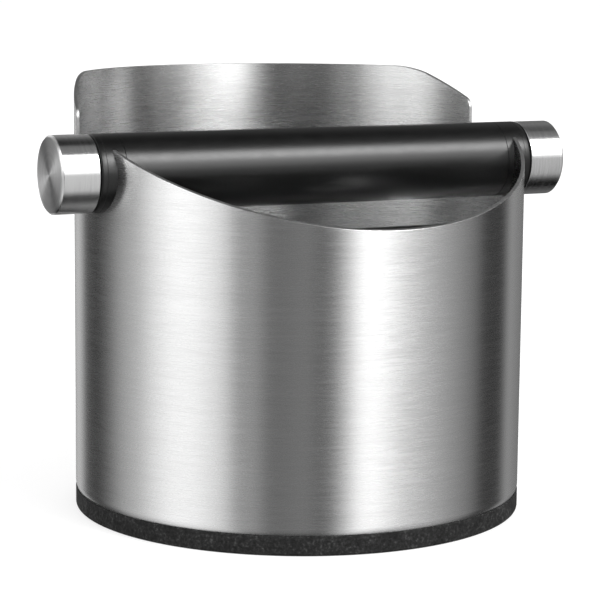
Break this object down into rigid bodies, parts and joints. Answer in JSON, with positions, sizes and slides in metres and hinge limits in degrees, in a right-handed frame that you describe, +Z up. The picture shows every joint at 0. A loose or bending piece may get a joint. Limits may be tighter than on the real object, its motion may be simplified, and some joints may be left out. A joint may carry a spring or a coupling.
{
  "type": "espresso knock box",
  "caption": "Round brushed-steel knock box with a raised splash wall, a rubber foot and a lift-out padded knock bar resting in notches in the rim.",
  "frame": {"origin": "middle of the footprint, on the surface that the box stands on", "axes": "+Z up, +X along the knock bar, the low rim faces -Y and the splash wall +Y"},
  "size_m": [0.157, 0.13, 0.1252],
  "materials": {
    "brushed_canister": "horizontally brushed stainless steel",
    "rubber_pad": "matt speckled foam rubber",
    "bond_film": "clear adhesive film",
    "steel_tube": "drawn steel",
    "rubber_sleeve": "satin black rubber",
    "bushing_rubber": "satin black rubber",
    "plug_steel": "turned steel",
    "stud_steel": "threaded steel",
    "fibre_washer": "black fibre",
    "turned_cap": "lathe-turned stainless steel"
  },
  "bodies": {
    "bin": {"canister": "brushed_canister", "base_pad": "rubber_pad", "base_film": "bond_film"},
    "bar_carrier": {"left_bushing": "bushing_rubber", "right_bushing": "bushing_rubber", "left_washer": "fibre_washer", "right_washer": "fibre_washer"},
    "knock_bar": {"bar_core": "steel_tube", "bar_sleeve": "rubber_sleeve", "left_plug": "plug_steel", "right_plug": "plug_steel", "left_stud": "stud_steel", "right_stud": "stud_steel", "left_cap": "turned_cap", "right_cap": "turned_cap"}
  },
  "joints": [
    {"name": "bar_lift", "type": "slide", "parent": "bin", "child": "bar_carrier", "axis": [0, 0.342, 0.9397], "range_m": [0, 0.06]},
    {"name": "bar_turn", "type": "hinge", "parent": "bar_carrier", "child": "knock_bar", "pos_m": [0, -0.0067, 0.09985], "axis": [1, 0, 0], "continuous": true}
  ]
}
